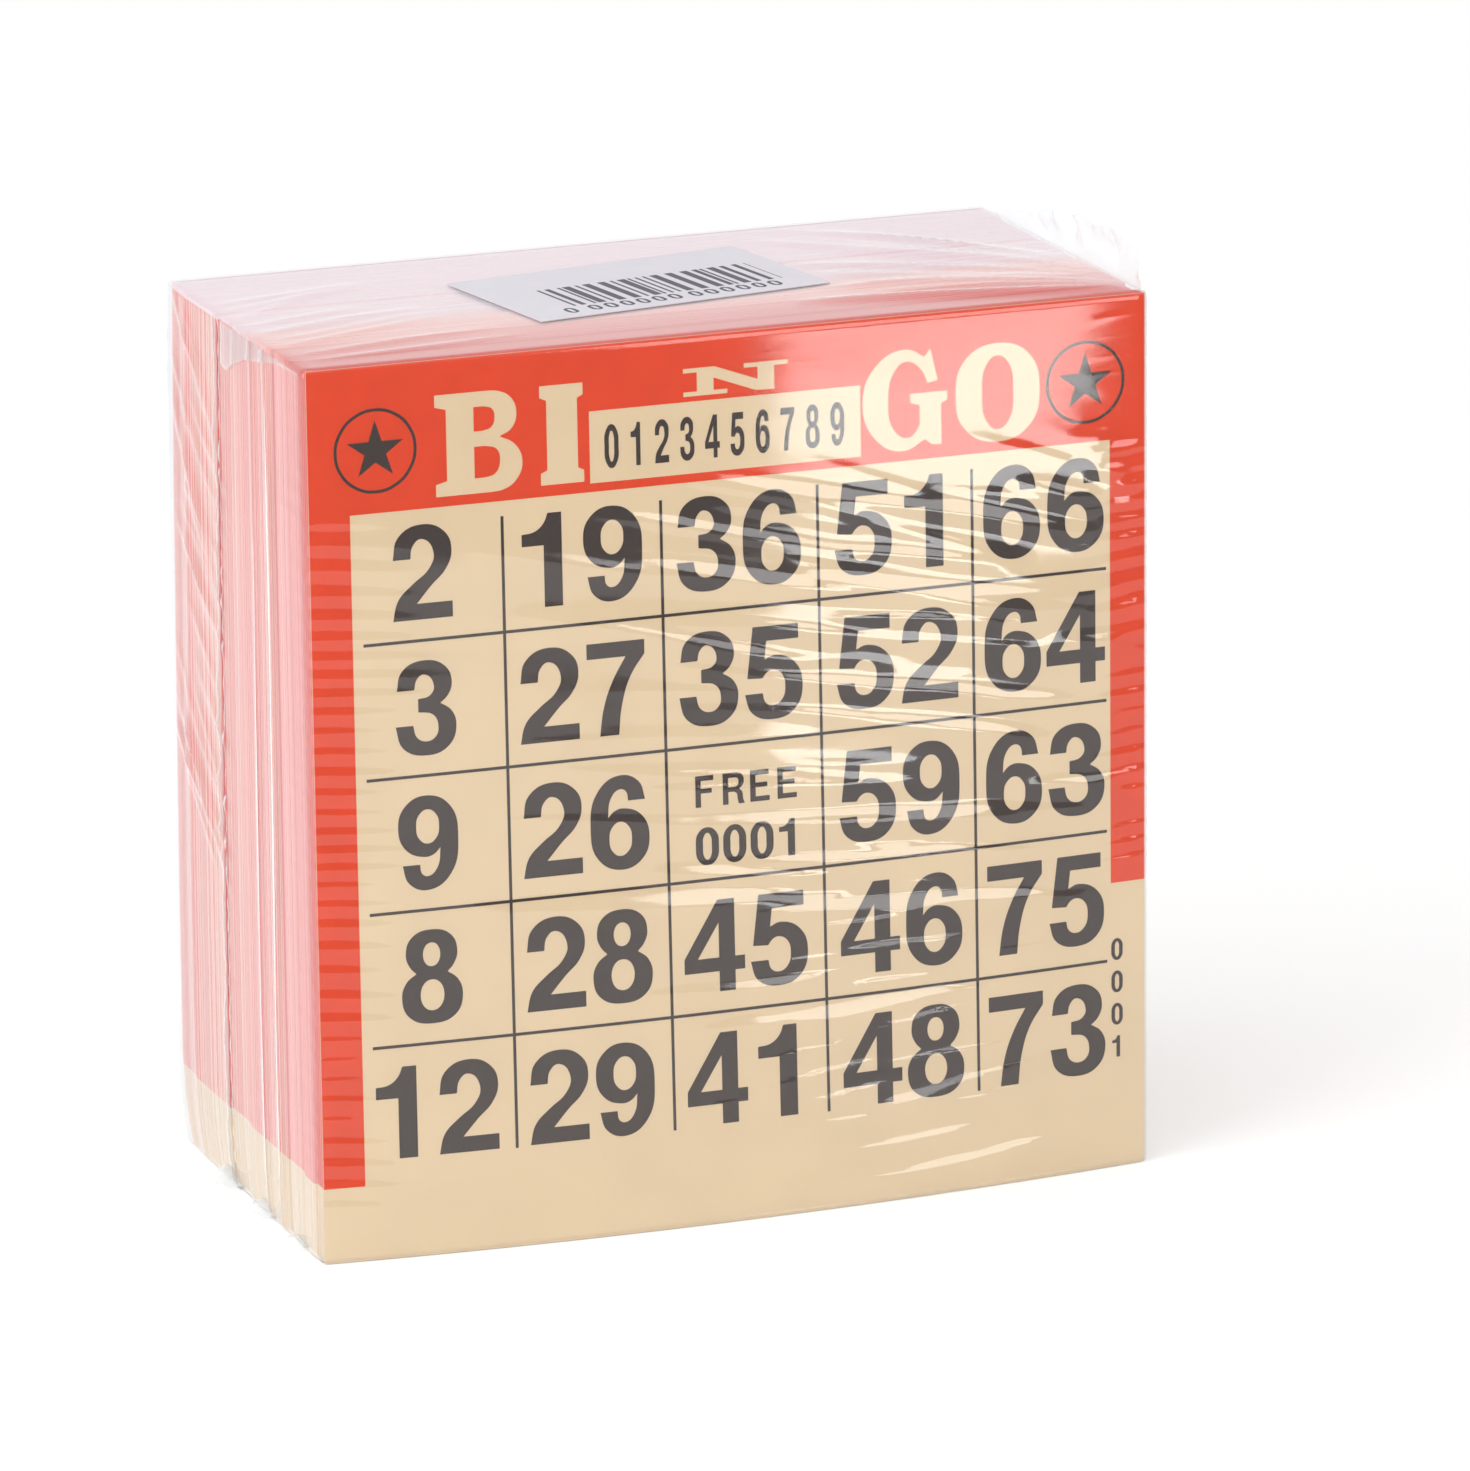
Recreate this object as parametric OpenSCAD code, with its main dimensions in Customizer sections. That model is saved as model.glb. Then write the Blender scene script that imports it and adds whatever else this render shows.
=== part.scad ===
// A pack of loose paper bingo cards, standing on its lower edge in clear shrink film.
// Millimetres. The origin is the middle of the face that the pack stands on, +Z is up,
// and the printed face of the front card looks along -Y.

/* [Cards] */
// Width of one card
card_w = 101.6; // [60:0.1:220]
// Height of one card
card_h = 104.8; // [60:0.1:300]
// Thickness of one sheet of paper
sheet_t = 0.08; // [0.05:0.01:0.2]
// Air left between two sheets
sheet_gap = 0.02; // [0.01:0.005:0.05]

/* [Stack] */
// Cards in the first lift, next to the front card
lift_1_cards = 24; // [5:1:120]
// Cards in the second lift
lift_2_cards = 35; // [5:1:120]
// Cards in the third lift
lift_3_cards = 60; // [5:1:120]
// Cards in the fourth lift
lift_4_cards = 80; // [5:1:120]
// Cards in the fifth lift
lift_5_cards = 50; // [5:1:120]
// Cards in the sixth lift
lift_6_cards = 70; // [5:1:120]
// Cards in the seventh lift
lift_7_cards = 120; // [5:1:160]
// Cards in the last lift, against the back film
lift_8_cards = 60; // [5:1:120]
// Farthest that a lift has slipped sideways
lift_slip = 0.2; // [0:0.05:0.6]
// Farthest that a lift was cut short of the full height
lift_trim = 0.25; // [0:0.05:0.6]

/* [Swell] */
// How far the lower front of the film bellies out
front_belly = 3; // [0:0.1:6]
// How far the rear cards would splay at their feet if these didn't curl in
back_splay = 4.4; // [0:0.1:8]
// Share of the splay that is lost at the foot, where the cards curl in
foot_curl = 0.75; // [0:0.05:1]
// Height over which a foot curls
curl_h = 3; // [1:0.5:10]

/* [Film] */
// Thickness of the shrink film
film_t = 0.05; // [0.03:0.01:0.1]
// Air between the cards and the film around them
film_gap = 0.2; // [0.1:0.05:0.6]
// Width of the slit along which the film opens
slit_w = 0.1; // [0.05:0.01:0.3]
// Room left at the fold where the front half of the film turns back
fold_gap = 0.05; // [0.03:0.01:0.2]
// Distance of the weld from the front face of the stack
weld_from_front = 31; // [10:0.5:40]
// Width of the weld bead
weld_w = 1.2; // [0.6:0.1:3]

/* [Film corners] */
// Thickness of a gathered corner of film
ear_t = 0.25; // [0.15:0.05:0.6]
// Height of the gathered film above the top right edge
ear_top_right_rise = 4; // [1:0.5:8]
// Distance from the front to the tip of the top right ear
ear_top_right_tip = 16; // [5:1:30]
// Distance that the folded top left ear stops short of the weld
ear_top_left_short = 1.5; // [1:0.5:8]
// Depth of the folded ear down the left side, beside the weld
ear_top_left_drop = 6; // [3:0.5:20]
// Length of a bottom ear along the edge
ear_bottom_run = 14; // [4:1:30]
// Reach of a bottom ear out from the side
ear_bottom_reach = 1.8; // [0.6:0.1:4]

/* [Label] */
// Width of the label
label_w = 38; // [15:0.5:60]
// Depth of the label
label_d = 23; // [10:0.5:40]
// Thickness of the label
label_t = 0.1; // [0.05:0.01:0.2]
// Turn of the label away from the front edge, in degrees
label_turn = 9; // [-30:1:30]
// Offset of the label from the middle of the top, to the right
label_off_x = -1.6; // [-20:0.1:20]
// Offset of the label from the middle of the top, to the back
label_off_y = 1.3; // [-8:0.1:8]

/* [Hidden] */

// Colours of the paper, the film and the label
paper_colour = "#E3CDA8";
printed_colour = "#E0593B";
film_colour = [0.88, 0.92, 0.96, 0.3];
weld_colour = [0.95, 0.96, 0.98, 0.6];
label_colour = "#DEDEE2";

// Cards in each lift, and the number of cards in front of a lift
lift_cards = [
    lift_1_cards, lift_2_cards, lift_3_cards, lift_4_cards,
    lift_5_cards, lift_6_cards, lift_7_cards, lift_8_cards
];
function cards_before(i) = i == 0 ? 1 : cards_before(i - 1) + lift_cards[i - 1];
card_count = cards_before(len(lift_cards));

// Lifts slip and were trimmed unevenly: two angles out of step with each other spread them
slip_step = 137.5;
trim_step = 97;
function slip(i) = lift_slip * sin((i + 1) * slip_step);
function trim(i) = lift_trim * (1 - cos((i + 1) * trim_step)) / 2;

// The stack of cards stands on the weld bead, which is two films thick
pitch = sheet_t + sheet_gap;
stack_d = card_count * pitch - sheet_gap;
front_y = -stack_d / 2;
weld_t = 2 * film_t;
bed_z = weld_t;

// The film's inner and outer faces
side_in = card_w / 2 + lift_slip + film_gap;
side_out = side_in + film_t;
front_in = front_y - film_gap;
front_out = front_in - film_t;
back_in = stack_d / 2 + film_gap;
back_out = back_in + film_t;
top_in = bed_z + card_h + film_gap;
top_out = top_in + film_t;

// Where the film opens: the weld on the sides and the lower front edge
weld_y = front_y + weld_from_front;
hood_rear = weld_y - slit_w / 2;
base_front = weld_y + slit_w / 2;
hood_low = film_t + slit_w;
base_high = top_in - fold_gap;

// The swollen stack. The front bellies out towards its middle and its foot, and the rear
// splays towards its foot, the last card most. Heights are counted from the bed.
belly_fall = 1.3;
splay_fall = 0.8;
splay_spread = 1.2;
bends = [0.05, 0.4];
belly_columns = 10;
belly_rows = 8;
function left_of(h) = max(0, 1 - h / card_h);
function belly(x, h) =
    front_belly * (1 - pow(min(1, abs(x) * 2 / card_w), 2)) * pow(left_of(h), belly_fall);
function splay(h) =
    back_splay * pow(left_of(h), splay_fall) * (1 - foot_curl * exp(-max(0, h) / curl_h));

// The line of the rear, in Y and Z, of something at y between two heights
function rear_line(y, low, high, reach = 1) = [
    for (z = concat([low], [for (share = bends) bed_z + share * card_h], [high]))
        [y + reach * splay(z - bed_z), z]
];
function reversed(list) = [for (i = [len(list) - 1 : -1 : 0]) list[i]];

// A block between two opposite corners
module block(low, high) {
    translate(low) cube(high - low);
}

// A piece drawn in Y and Z, and as wide as given along X
module drawn_across(x, wide, outline) {
    translate([x, 0, 0])
        rotate([90, 0, 90])
            linear_extrude(wide) polygon(outline);
}

// An upright sheet that follows the line of the rear
module splayed_sheet(x, wide, y, thick, low, high, reach = 1) {
    drawn_across(x, wide, concat(
        rear_line(y, low, high, reach),
        reversed(rear_line(y + thick, low, high, reach))
    ));
}

// One card of a lift, counted from the front of the stack
module card(index, sideways, short) {
    splayed_sheet(
        sideways - card_w / 2, card_w, front_y + index * pitch, sheet_t,
        bed_z, bed_z + card_h - short, pow(index / (card_count - 1), splay_spread)
    );
}

// The loose cards of one lift
module lift(i) {
    for (k = [0 : lift_cards[i] - 1])
        card(cards_before(i) + k, slip(i), trim(i));
}

// The front film: a sheet that bellies out, flat where it meets the side and top films
module bellied_sheet() {
    xs = concat(
        [-side_out], [for (i = [0 : belly_columns]) side_in * (2 * i / belly_columns - 1)], [side_out]
    );
    zs = concat([for (j = [0 : belly_rows]) hood_low + (top_in - hood_low) * j / belly_rows], [top_out]);
    outer = [for (z = zs) for (x = xs) [x, front_out - belly(x, z - bed_z), z]];
    inner = [for (p = outer) p + [0, film_t, 0]];
    count = len(outer);
    wide = len(xs);
    right = wide - 1;
    top = len(zs) - 1;
    cells = [for (j = [0 : top - 1]) for (i = [0 : right - 1]) j * wide + i];
    faces = concat(
        [for (a = cells) [a, a + wide, a + wide + 1]],
        [for (a = cells) [a, a + wide + 1, a + 1]],
        [for (a = cells) [count + a, count + a + wide + 1, count + a + wide]],
        [for (a = cells) [count + a, count + a + 1, count + a + wide + 1]],
        [for (i = [0 : right - 1]) [i, i + 1, count + i + 1, count + i]],
        [for (i = [0 : right - 1]) let (a = top * wide + i) [a + 1, a, count + a, count + a + 1]],
        [for (j = [0 : top - 1]) let (a = j * wide) [a + wide, a, count + a, count + a + wide]],
        [for (j = [0 : top - 1]) let (a = j * wide + right) [a, a + wide, count + a + wide, count + a]]
    );
    polyhedron(concat(outer, inner), faces);
}

module front_card() color(printed_colour)
    block([-card_w / 2, front_y, bed_z], [card_w / 2, front_y + sheet_t, bed_z + card_h]);

module card_lift_1() color(paper_colour) lift(0);
module card_lift_2() color(paper_colour) lift(1);
module card_lift_3() color(paper_colour) lift(2);
module card_lift_4() color(paper_colour) lift(3);
module card_lift_5() color(paper_colour) lift(4);
module card_lift_6() color(paper_colour) lift(5);
module card_lift_7() color(paper_colour) lift(6);
module card_lift_8() color(paper_colour) lift(7);

// Front half of the film: it turns back about the fold along the top rear edge
module film_front_panel() color(film_colour) bellied_sheet();

module film_top_panel() color(film_colour)
    block([-side_out, front_in, top_in], [side_out, back_out, top_out]);

module film_left_front_panel() color(film_colour)
    block([-side_out, front_in, hood_low], [-side_in, hood_rear, top_in]);

module film_right_front_panel() color(film_colour)
    block([side_in, front_in, hood_low], [side_out, hood_rear, top_in]);

// Rear half of the film: it stays around the stack
module film_back_panel() color(film_colour)
    splayed_sheet(-side_out, 2 * side_out, back_in, film_t, film_t, base_high);

module film_bottom_front_panel() color(film_colour)
    linear_extrude(film_t)
        polygon(concat(
            [for (i = [0 : belly_columns])
                let (x = side_in * (2 * i / belly_columns - 1)) [x, front_out - belly(x, 0)]],
            [[side_out, front_out], [side_out, weld_y - weld_w / 2]],
            [[-side_out, weld_y - weld_w / 2], [-side_out, front_out]]
        ));

module film_bottom_rear_panel() color(film_colour)
    block([-side_out, weld_y + weld_w / 2, 0], [side_out, back_out + splay(0), film_t]);

// One side of the rear half, from the weld to the line of the rear
module rear_side(x) {
    drawn_across(x, film_t, concat(
        [[base_front, base_high], [base_front, weld_t]],
        rear_line(back_in, weld_t, base_high)
    ));
}

module film_left_rear_panel() color(film_colour) rear_side(-side_out);

module film_right_rear_panel() color(film_colour) rear_side(side_in);

// Weld beads, left on the rear half when the film is slit beside them
module film_seal_left() color(weld_colour)
    block([-side_out - weld_t, base_front, weld_t], [-side_out, base_front + weld_w, base_high]);

module film_seal_right() color(weld_colour)
    block([side_out, base_front, weld_t], [side_out + weld_t, base_front + weld_w, base_high]);

module film_seal_bottom() color(weld_colour)
    block([-side_out, weld_y - weld_w / 2, 0], [side_out, weld_y + weld_w / 2, weld_t]);

// Gathered corners: one stands on the top right edge, one lies folded on the left side,
// and two small ones stick out where the weld goes under the stack
module film_ear_top_right() color(weld_colour)
    drawn_across(side_out - ear_t, ear_t, [
        [front_in, top_out],
        [front_in + ear_top_right_tip, top_out + ear_top_right_rise],
        [back_in, top_out]
    ]);

module film_ear_top_left() color(weld_colour)
    drawn_across(-side_out - ear_t, ear_t, [
        [front_out, top_out],
        [weld_y - ear_top_left_short, top_out - ear_top_left_drop],
        [weld_y - ear_top_left_short, top_out]
    ]);

// A bottom ear, pointing along X from the side of the stack
module bottom_ear() {
    linear_extrude(weld_t)
        polygon([
            [0, weld_y - ear_bottom_run / 2],
            [ear_bottom_reach, weld_y],
            [0, weld_y + ear_bottom_run / 2]
        ]);
}

module film_ear_bottom_left() color(weld_colour)
    translate([-side_out, 0, 0]) mirror([1, 0, 0]) bottom_ear();

module film_ear_bottom_right() color(weld_colour)
    translate([side_out, 0, 0]) bottom_ear();

// Self-adhesive label on the top film
module barcode_label() color(label_colour)
    translate([label_off_x, label_off_y, top_out])
        rotate([0, 0, label_turn])
            translate([-label_w / 2, -label_d / 2, 0])
                cube([label_w, label_d, label_t]);

front_card();
card_lift_1();
card_lift_2();
card_lift_3();
card_lift_4();
card_lift_5();
card_lift_6();
card_lift_7();
card_lift_8();
film_front_panel();
film_top_panel();
film_left_front_panel();
film_right_front_panel();
film_back_panel();
film_bottom_front_panel();
film_bottom_rear_panel();
film_left_rear_panel();
film_right_rear_panel();
film_seal_left();
film_seal_right();
film_seal_bottom();
film_ear_top_right();
film_ear_top_left();
film_ear_bottom_left();
film_ear_bottom_right();
barcode_label();
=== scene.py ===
"""A pack of loose paper bingo cards in clear shrink film: the finish of every piece, around the frame."""

import math
import random
from functools import partial
from types import SimpleNamespace

import bmesh
import bpy
import numpy as np
from mathutils import Euler, Matrix, Vector


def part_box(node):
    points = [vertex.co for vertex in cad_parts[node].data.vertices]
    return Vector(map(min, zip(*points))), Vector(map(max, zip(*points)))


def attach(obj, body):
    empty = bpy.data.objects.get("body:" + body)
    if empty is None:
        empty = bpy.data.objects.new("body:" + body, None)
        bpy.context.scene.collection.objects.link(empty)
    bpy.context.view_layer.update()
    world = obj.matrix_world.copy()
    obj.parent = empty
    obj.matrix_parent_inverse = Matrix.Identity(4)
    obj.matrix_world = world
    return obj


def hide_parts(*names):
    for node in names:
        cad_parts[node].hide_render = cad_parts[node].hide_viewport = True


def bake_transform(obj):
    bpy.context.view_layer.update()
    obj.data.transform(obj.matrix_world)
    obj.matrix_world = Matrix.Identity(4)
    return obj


bl_info = {
    "name": "Wrapped Bingo Cards",
    "version": (1, 0, 0),
    "blender": (4, 5, 0),
    "location": "3D View > Sidebar > Bingo",
    "description": "Builds the printed cards, the stack, the shrink film and the label around the frame",
    "category": "Object",
}

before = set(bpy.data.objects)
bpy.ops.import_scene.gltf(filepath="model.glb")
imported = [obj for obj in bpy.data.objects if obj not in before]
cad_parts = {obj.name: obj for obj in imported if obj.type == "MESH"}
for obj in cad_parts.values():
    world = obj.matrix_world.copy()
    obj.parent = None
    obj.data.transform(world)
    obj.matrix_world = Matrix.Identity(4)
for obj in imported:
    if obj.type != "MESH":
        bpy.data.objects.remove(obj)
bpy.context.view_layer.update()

MM = 0.001

# Bodies of the frame
STACK, HOOD, CARD = "wrapped_stack", "film_hood", "front_card"

# Places that come from the frame
CARD_LOW, CARD_HIGH = (Vector(c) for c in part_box("front_card"))
CARD_W = CARD_HIGH.x - CARD_LOW.x
CARD_H = CARD_HIGH.z - CARD_LOW.z
SHEET_T = CARD_HIGH.y - CARD_LOW.y
STACK_FRONT = CARD_LOW.y
BED = CARD_LOW.z
TOP_LOW, TOP_HIGH = (Vector(c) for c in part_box("film_top_panel"))
FILM_SIDE, FILM_BACK, FILM_TOP = TOP_HIGH
FILM_T = TOP_HIGH.z - TOP_LOW.z
FILM_FRONT = TOP_LOW.y - FILM_T
STACK_BACK = FILM_BACK - FILM_T - (STACK_FRONT - TOP_LOW.y)
STACK_D = STACK_BACK - STACK_FRONT
WELD_LOW, WELD_HIGH = (Vector(c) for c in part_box("film_seal_left"))
WELD_Y = WELD_LOW.y
# Cards in each lift behind the front card, and how much red print each lift's cut edges took, from 0 to 1
LIFT_CARDS = (24, 35, 60, 80, 50, 70, 120, 60)
LIFT_BLEED = (0.62, 0.5, 0.46, 0.33, 0.33, 0.37, 0.33, 0.15)
PITCH = (STACK_D - SHEET_T) / sum(LIFT_CARDS)
# Label on the top film: width, depth and turn in degrees
LABEL_W, LABEL_D, LABEL_TURN = 38.0 * MM, 23.0 * MM, 9.0
LABEL_LOW, LABEL_HIGH = (Vector(c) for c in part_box("barcode_label"))
LABEL_MIDDLE = (LABEL_LOW + LABEL_HIGH) / 2
# Number of cuts of the film along X, Y and Z, and the length under which an edge isn't cut
FILM_CUTS, SHORT_EDGE = (84, 80, 220), 5 * MM
# Phases of the folds on the two sides
LEFT_TURN, RIGHT_TURN = 0.0, 2.0
# Depth of the materials' relief, how far from its rim a sheet is cut edge, and the least share along Y
# of a normal on a flat face
RELIEF, EDGE_REACH, FLAT_FACE = 0.05 * MM, 0.7 * MM, 0.7
WHITE = "#FFFFFF"
# What the lamps face
PACK_MIDDLE = Vector((0.0, 0.0, 0.06))
FLOOR_RADIUS = 0.36

# Numbers on the front card and on the card behind it, one list for each row. None is the free cell
FRONT_NUMBERS = (
    (2, 19, 36, 51, 66),
    (3, 27, 35, 52, 64),
    (9, 26, None, 59, 63),
    (8, 28, 45, 46, 75),
    (12, 29, 41, 48, 73),
)
SECOND_NUMBERS = (
    (7, 22, 31, 60, 62),
    (1, 16, 44, 47, 70),
    (15, 30, None, 53, 68),
    (4, 18, 39, 57, 61),
    (11, 24, 33, 50, 72),
)

def outlines(text):
    """Outlines of a glyph: points are x,y, a tilde marks a smooth one, and a slash parts two outlines."""
    return [
        [(*map(float, p.rstrip("~").split(",")), p.endswith("~")) for p in loop.split()]
        for loop in text.split("/")]


# Numerals and letters, 100 high
GLYPHS = {key: outlines(text) for key, text in {
    "0": "36,101~ 61,87~ 68,50~ 61,13~ 36,-1~ 11,13~ 4,50~ 11,87~ / 36,86~ 45,78~ 48,50~ 45,22~ "
         "36,14~ 27,22~ 24,50~ 27,78~",
    "1": "52,0 52,100 37,100 32,89~ 22,81~ 8,79 8,66 32,66 32,0",
    "2": "3,65 9,89~ 35,101~ 60,91~ 67,70~ 60,51~ 45,36~ 28,17 67,17 67,0 2,0 8,22~ 24,38~ 42,53~ "
         "47.5,70~ 35,85.5~ 25,79~ 22,65",
    "3": "4,70 10,91~ 34,101~ 57,93~ 64,75~ 59,61~ 51,54 63,45~ 68,28~ 59,7~ 35,-1~ 10,8~ 2,32 21,32 "
         "25,19~ 35,14~ 45,18~ 48.5,29~ 43,42~ 27,46 27,60 40,63~ 44.5,73~ 34,86~ 26,81~ 23,70",
    "4": "39,100 58,100 58,37 69,37 69,22 58,22 58,0 40,0 40,22 1,22 1,38 / 40,37 40,75 16,37",
    "5": "12,100 63,100 63,84 27,84 24.5,64 37,68~ 59,58~ 67,34~ 58,8~ 34,-1~ 10,7~ 2,28 22,28 25,18~ "
         "34,14~ 44,20~ 47.5,33~ 44,47~ 34,52.5~ 27,50~ 22,44 5,45",
    "6": "64,73 57,93~ 36,101~ 12,86~ 3,47~ 11,12~ 36,-1~ 60,9~ 68,33~ 60,56~ 41,65~ 30,63~ 22.5,56 "
         "26,77~ 36,86~ 43,83~ 45,73 / 36,51~ 45.5,45~ 48.5,32.5~ 45.5,20~ 36,14~ 26.5,20~ 23.5,32.5~ "
         "26.5,45~",
    "7": "3,100 67,100 67,85 51,62~ 41,32~ 37,0 16,0 21,31~ 31,58~ 46,83.5 3,83.5",
    "8": "35,101~ 56,94~ 63,76~ 59,62~ 52,54 63,45~ 68,28~ 60,7~ 35,-1~ 10,7~ 2,28~ 7,45~ 18,54 "
         "11,62~ 7,76~ 14,94~ / 35,87~ 44.5,74~ 35,61~ 25.5,74~ / 35,47~ 48,30~ 35,13~ 22,30~",
    "F": "6,0 6,100 66,100 66,84 24,84 24,59 60,59 60,44 24,44 24,0",
    "R": "6,0 6,100 52,100 69,93~ 76,74~ 70,56~ 60,48 70,36~ 73,14~ 78,0 58,0 54.5,16~ 51,34~ 42,39 "
         "24,39 24,0 / 24,84 46,84 55,81~ 58,70~ 54,58~ 45,54 24,54",
    "E": "6,0 6,100 68,100 68,84 24,84 24,60 63,60 63,45 24,45 24,16 70,16 70,0",
}.items()}
GLYPHS["9"] = [[(70 - x, 100 - z, smooth) for x, z, smooth in loop] for loop in GLYPHS["6"]]
# The five column letters, in a heavy slab face
COLUMN_LETTERS = {key: outlines(text) for key, text in {
    "B": "0,100 52,100 63,98.5~ 75,91~ 80,76~ 75,61~ 63,54 78,45~ 85,27~ 78,9~ 66,1.5~ 54,0 0,0 0,12 "
         "11,15 11,85 0,88 / 38,85 48,85 56,82~ 58.5,73~ 55,64~ 46,61 38,61 / 38,46 49,46 60,42~ "
         "63,30~ 58,18~ 48,15 38,15",
    "I": "0,100 52,100 52,88 45,85 45,15 52,12 52,0 0,0 0,12 8,15 8,85 0,88",
    "N": "0,100 30,100 71,40 71,84 58,84 58,100 100,100 100,84 87,84 87,0 70,0 29,60 29,16 42,16 42,0 "
         "0,0 0,16 13,16 13,84 0,84",
    "G": "66,99 60,91 43,100~ 14,87~ 0,50~ 13,13~ 38,0~ 60,10 67,4 76,4 76,44 82,47 82,56 46,56 46,47 "
         "55,44 55,24 44,13~ 30,22~ 25,50~ 31,79~ 43,88~ 56,80~ 63,65 73,67",
    "O": "39.5,101~ 70,86~ 79,50~ 70,14~ 39.5,-1~ 9,14~ 0,50~ 9,86~ / 39.5,88~ 50,79~ 54,50~ 50,21~ "
         "39.5,12~ 29,21~ 25,50~ 29,79~",
}.items()}
# Each column letter's left edge, foot, width and height on the card, in mm from the lower left corner
LETTER_PLACES = {
    "B": (15.1, 88.95, 10.35, 11.75),
    "I": (27.6, 89.1, 5.2, 11.5),
    "N": (44.9, 97.75, 12.7, 3.25),
    "G": (66.65, 88.9, 10.45, 11.9),
    "O": (78.1, 89.05, 10.45, 11.4),
}
# How far the numbers of each column stand from the middle of their cells, in mm
NUMBER_SHIFT = (-0.05, -0.3, -0.17, 0.07, -0.65)
# Corners of the number box and middles of the emblems' places, in mm
NUMBER_BOX = (33.5, 88.8, 66.4, 97.15)
EMBLEM_PLACES = ((8.0, 95.0), (94.2, 94.9))

# Papers: colour, size in mm and spread of the clouds, roughness, sheen, size in mm and depth of the fibres
PAPERS = {
    # Cream uncoated newsprint: matt and faintly cloudy, with short fibres
    "cream_newsprint": ("paper", 9.0, 0.025, 0.82, 0.25, 0.35, 0.12),
    # Offset inks: they sink in, so the paper's fibres show, with slightly uneven cover
    "red_offset_ink": ("red", 3.0, 0.04, 0.7, 0.25, 0.35, 0.12),
    "grey_offset_ink": ("grey", 3.0, 0.04, 0.7, 0.3, 0.35, 0.12),
    "label_bar_ink": ("bars", 3.0, 0.04, 0.7, 0.3, 0.35, 0.12),
    # Machine-coated label paper: smooth and satin
    "coated_label_paper": ("label", 4.0, 0.02, 0.6, 0.2, 0.2, 0.05),
}
# Films: share of milky haze, and how much stronger than one face the film mirrors
FILMS = {
    # One tight layer, which leaves what is behind it clear
    "clear_shrink_film": (0.004, 1.3),
    # Film that lies double, so it veils what is behind it a little
    "folded_shrink_film": (0.03, 1.5),
    # Film creased and welded into several layers, so it looks milky
    "gathered_shrink_film": (0.1, 1.6),
    # A tight pleat of several layers, drawn milky white: partly its real layers, partly a painted highlight
    # for a fold's bright streak
    "pleated_shrink_film": (0.4, 1.3),
}


def length(name, text, value_mm):
    """A length property whose default is given in millimetres."""
    return bpy.props.FloatProperty(
        name=name, description=text, default=value_mm * MM, precision=5, unit="LENGTH")


def colour(name, text, hex_value):
    """A colour property whose default is an sRGB hex value."""
    return bpy.props.StringProperty(name=name, description=text, default=hex_value)


class CardSizes(bpy.types.PropertyGroup):
    """Sizes of the print on a card."""

    header_h: length("Header", "Height of the red band across the top", 17.0)
    left_bar_w: length("Left bar", "Width of the red bar down the left edge", 4.85)
    left_bar_end: length("Left bar end", "Height at which the left bar stops", 8.9)
    right_bar_w: length("Right bar", "Width of the red bar down the right edge", 4.35)
    right_bar_end: length("Right bar end", "Height at which the right bar stops", 34.6)
    cell_w: length("Cell width", "Width of one cell of the grid", 19.05)
    cell_h: length("Cell height", "Height of one cell of the grid", 15.79)
    grid_x: length("Grid side", "Left edge of the grid from the card's left edge", 3.8)
    grid_z: length("Grid foot", "Lower edge of the grid from the card's lower edge", 9.4)
    line_w: length("Rule", "Width of a grid rule", 0.36)
    line_inset: length("Rule inset", "How far the rules stop short of the grid's edges", 2.3)
    digit_h: length("Numeral", "Height of a numeral", 10.9)
    digit_pitch: length("Numeral pitch", "Distance from one numeral to the next", 8.0)
    ink_t: length("Ink", "Thickness at which ink is drawn", 0.012)


class FilmSizes(bpy.types.PropertyGroup):
    """Sizes of the swollen stack and of the film's folds."""

    front_belly: length("Front belly", "How far the lower front swells out", 3.0)
    back_belly: length("Back splay", "How far the lower back splays out", 4.4)
    edge_round: length("Edge round", "Rounding of the film over an edge", 0.6)
    fold_strip: length("Fold strip", "Width of film that bends at the fold", 2.0)
    ripple: length("Ripple", "Wavelength of the ripples beside the edges", 2.4)
    ripple_h: length("Ripple height", "Height of those ripples", 0.12)
    bead_w: length("Bead", "Width of a weld bead", 0.8)
    ear_rise: length("Ear", "Height of the gathered film above the top right edge", 4.8)


class PackColours(bpy.types.PropertyGroup):
    """Colours, as sRGB hex values."""

    paper: colour("Paper", "Unprinted cream newsprint", "#E2C7A1")
    red: colour("Red", "Red-orange printing ink", "#E03E10")
    grey: colour("Grey", "Dark grey printing ink", "#3A2C26")
    edge_pale: colour("Pale edge", "Cut edges where little of the red print bleeds", "#FAB6B2")
    # Pale pink-white for the top's rear: the film's white haze painted into the cut edges as a painted
    # reflection
    edge_top: colour("Top edge", "Cut edges at the rear of the top", "#F0DBDF")
    edge_deep: colour("Deep edge", "Cut edges where much of the red print bleeds", "#DE6A62")
    edge_bare: colour("Bare edge", "Cut edges without print", "#F0E2CF")
    film: colour("Film", "Tint of the clear film", "#FCFDFE")
    label: colour("Label", "Label paper", "#D3CFD6")
    bars: colour("Bars", "Ink of the bars on the label", "#5C5C64")
    floor: colour("Floor", "Floor under the pack", "#F0F0F0")


def linear(hex_value):
    """Linear RGBA from an sRGB hex value."""
    channels = [int(hex_value[i:i + 2], 16) / 255 for i in (1, 3, 5)]
    return [c / 12.92 if c <= 0.04045 else ((c + 0.055) / 1.055) ** 2.4 for c in channels] + [1.0]


def add_node(tree, kind, inputs=None, **settings):
    """Adds one shader node, sets its properties, and sets or links its inputs."""
    node = tree.nodes.new("ShaderNode" + kind)
    for key, value in settings.items():
        setattr(node, key, value)
    for key, value in (inputs or {}).items():
        if isinstance(value, bpy.types.NodeSocket):
            tree.links.new(value, node.inputs[key])
        else:
            node.inputs[key].default_value = value
    return node


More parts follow.
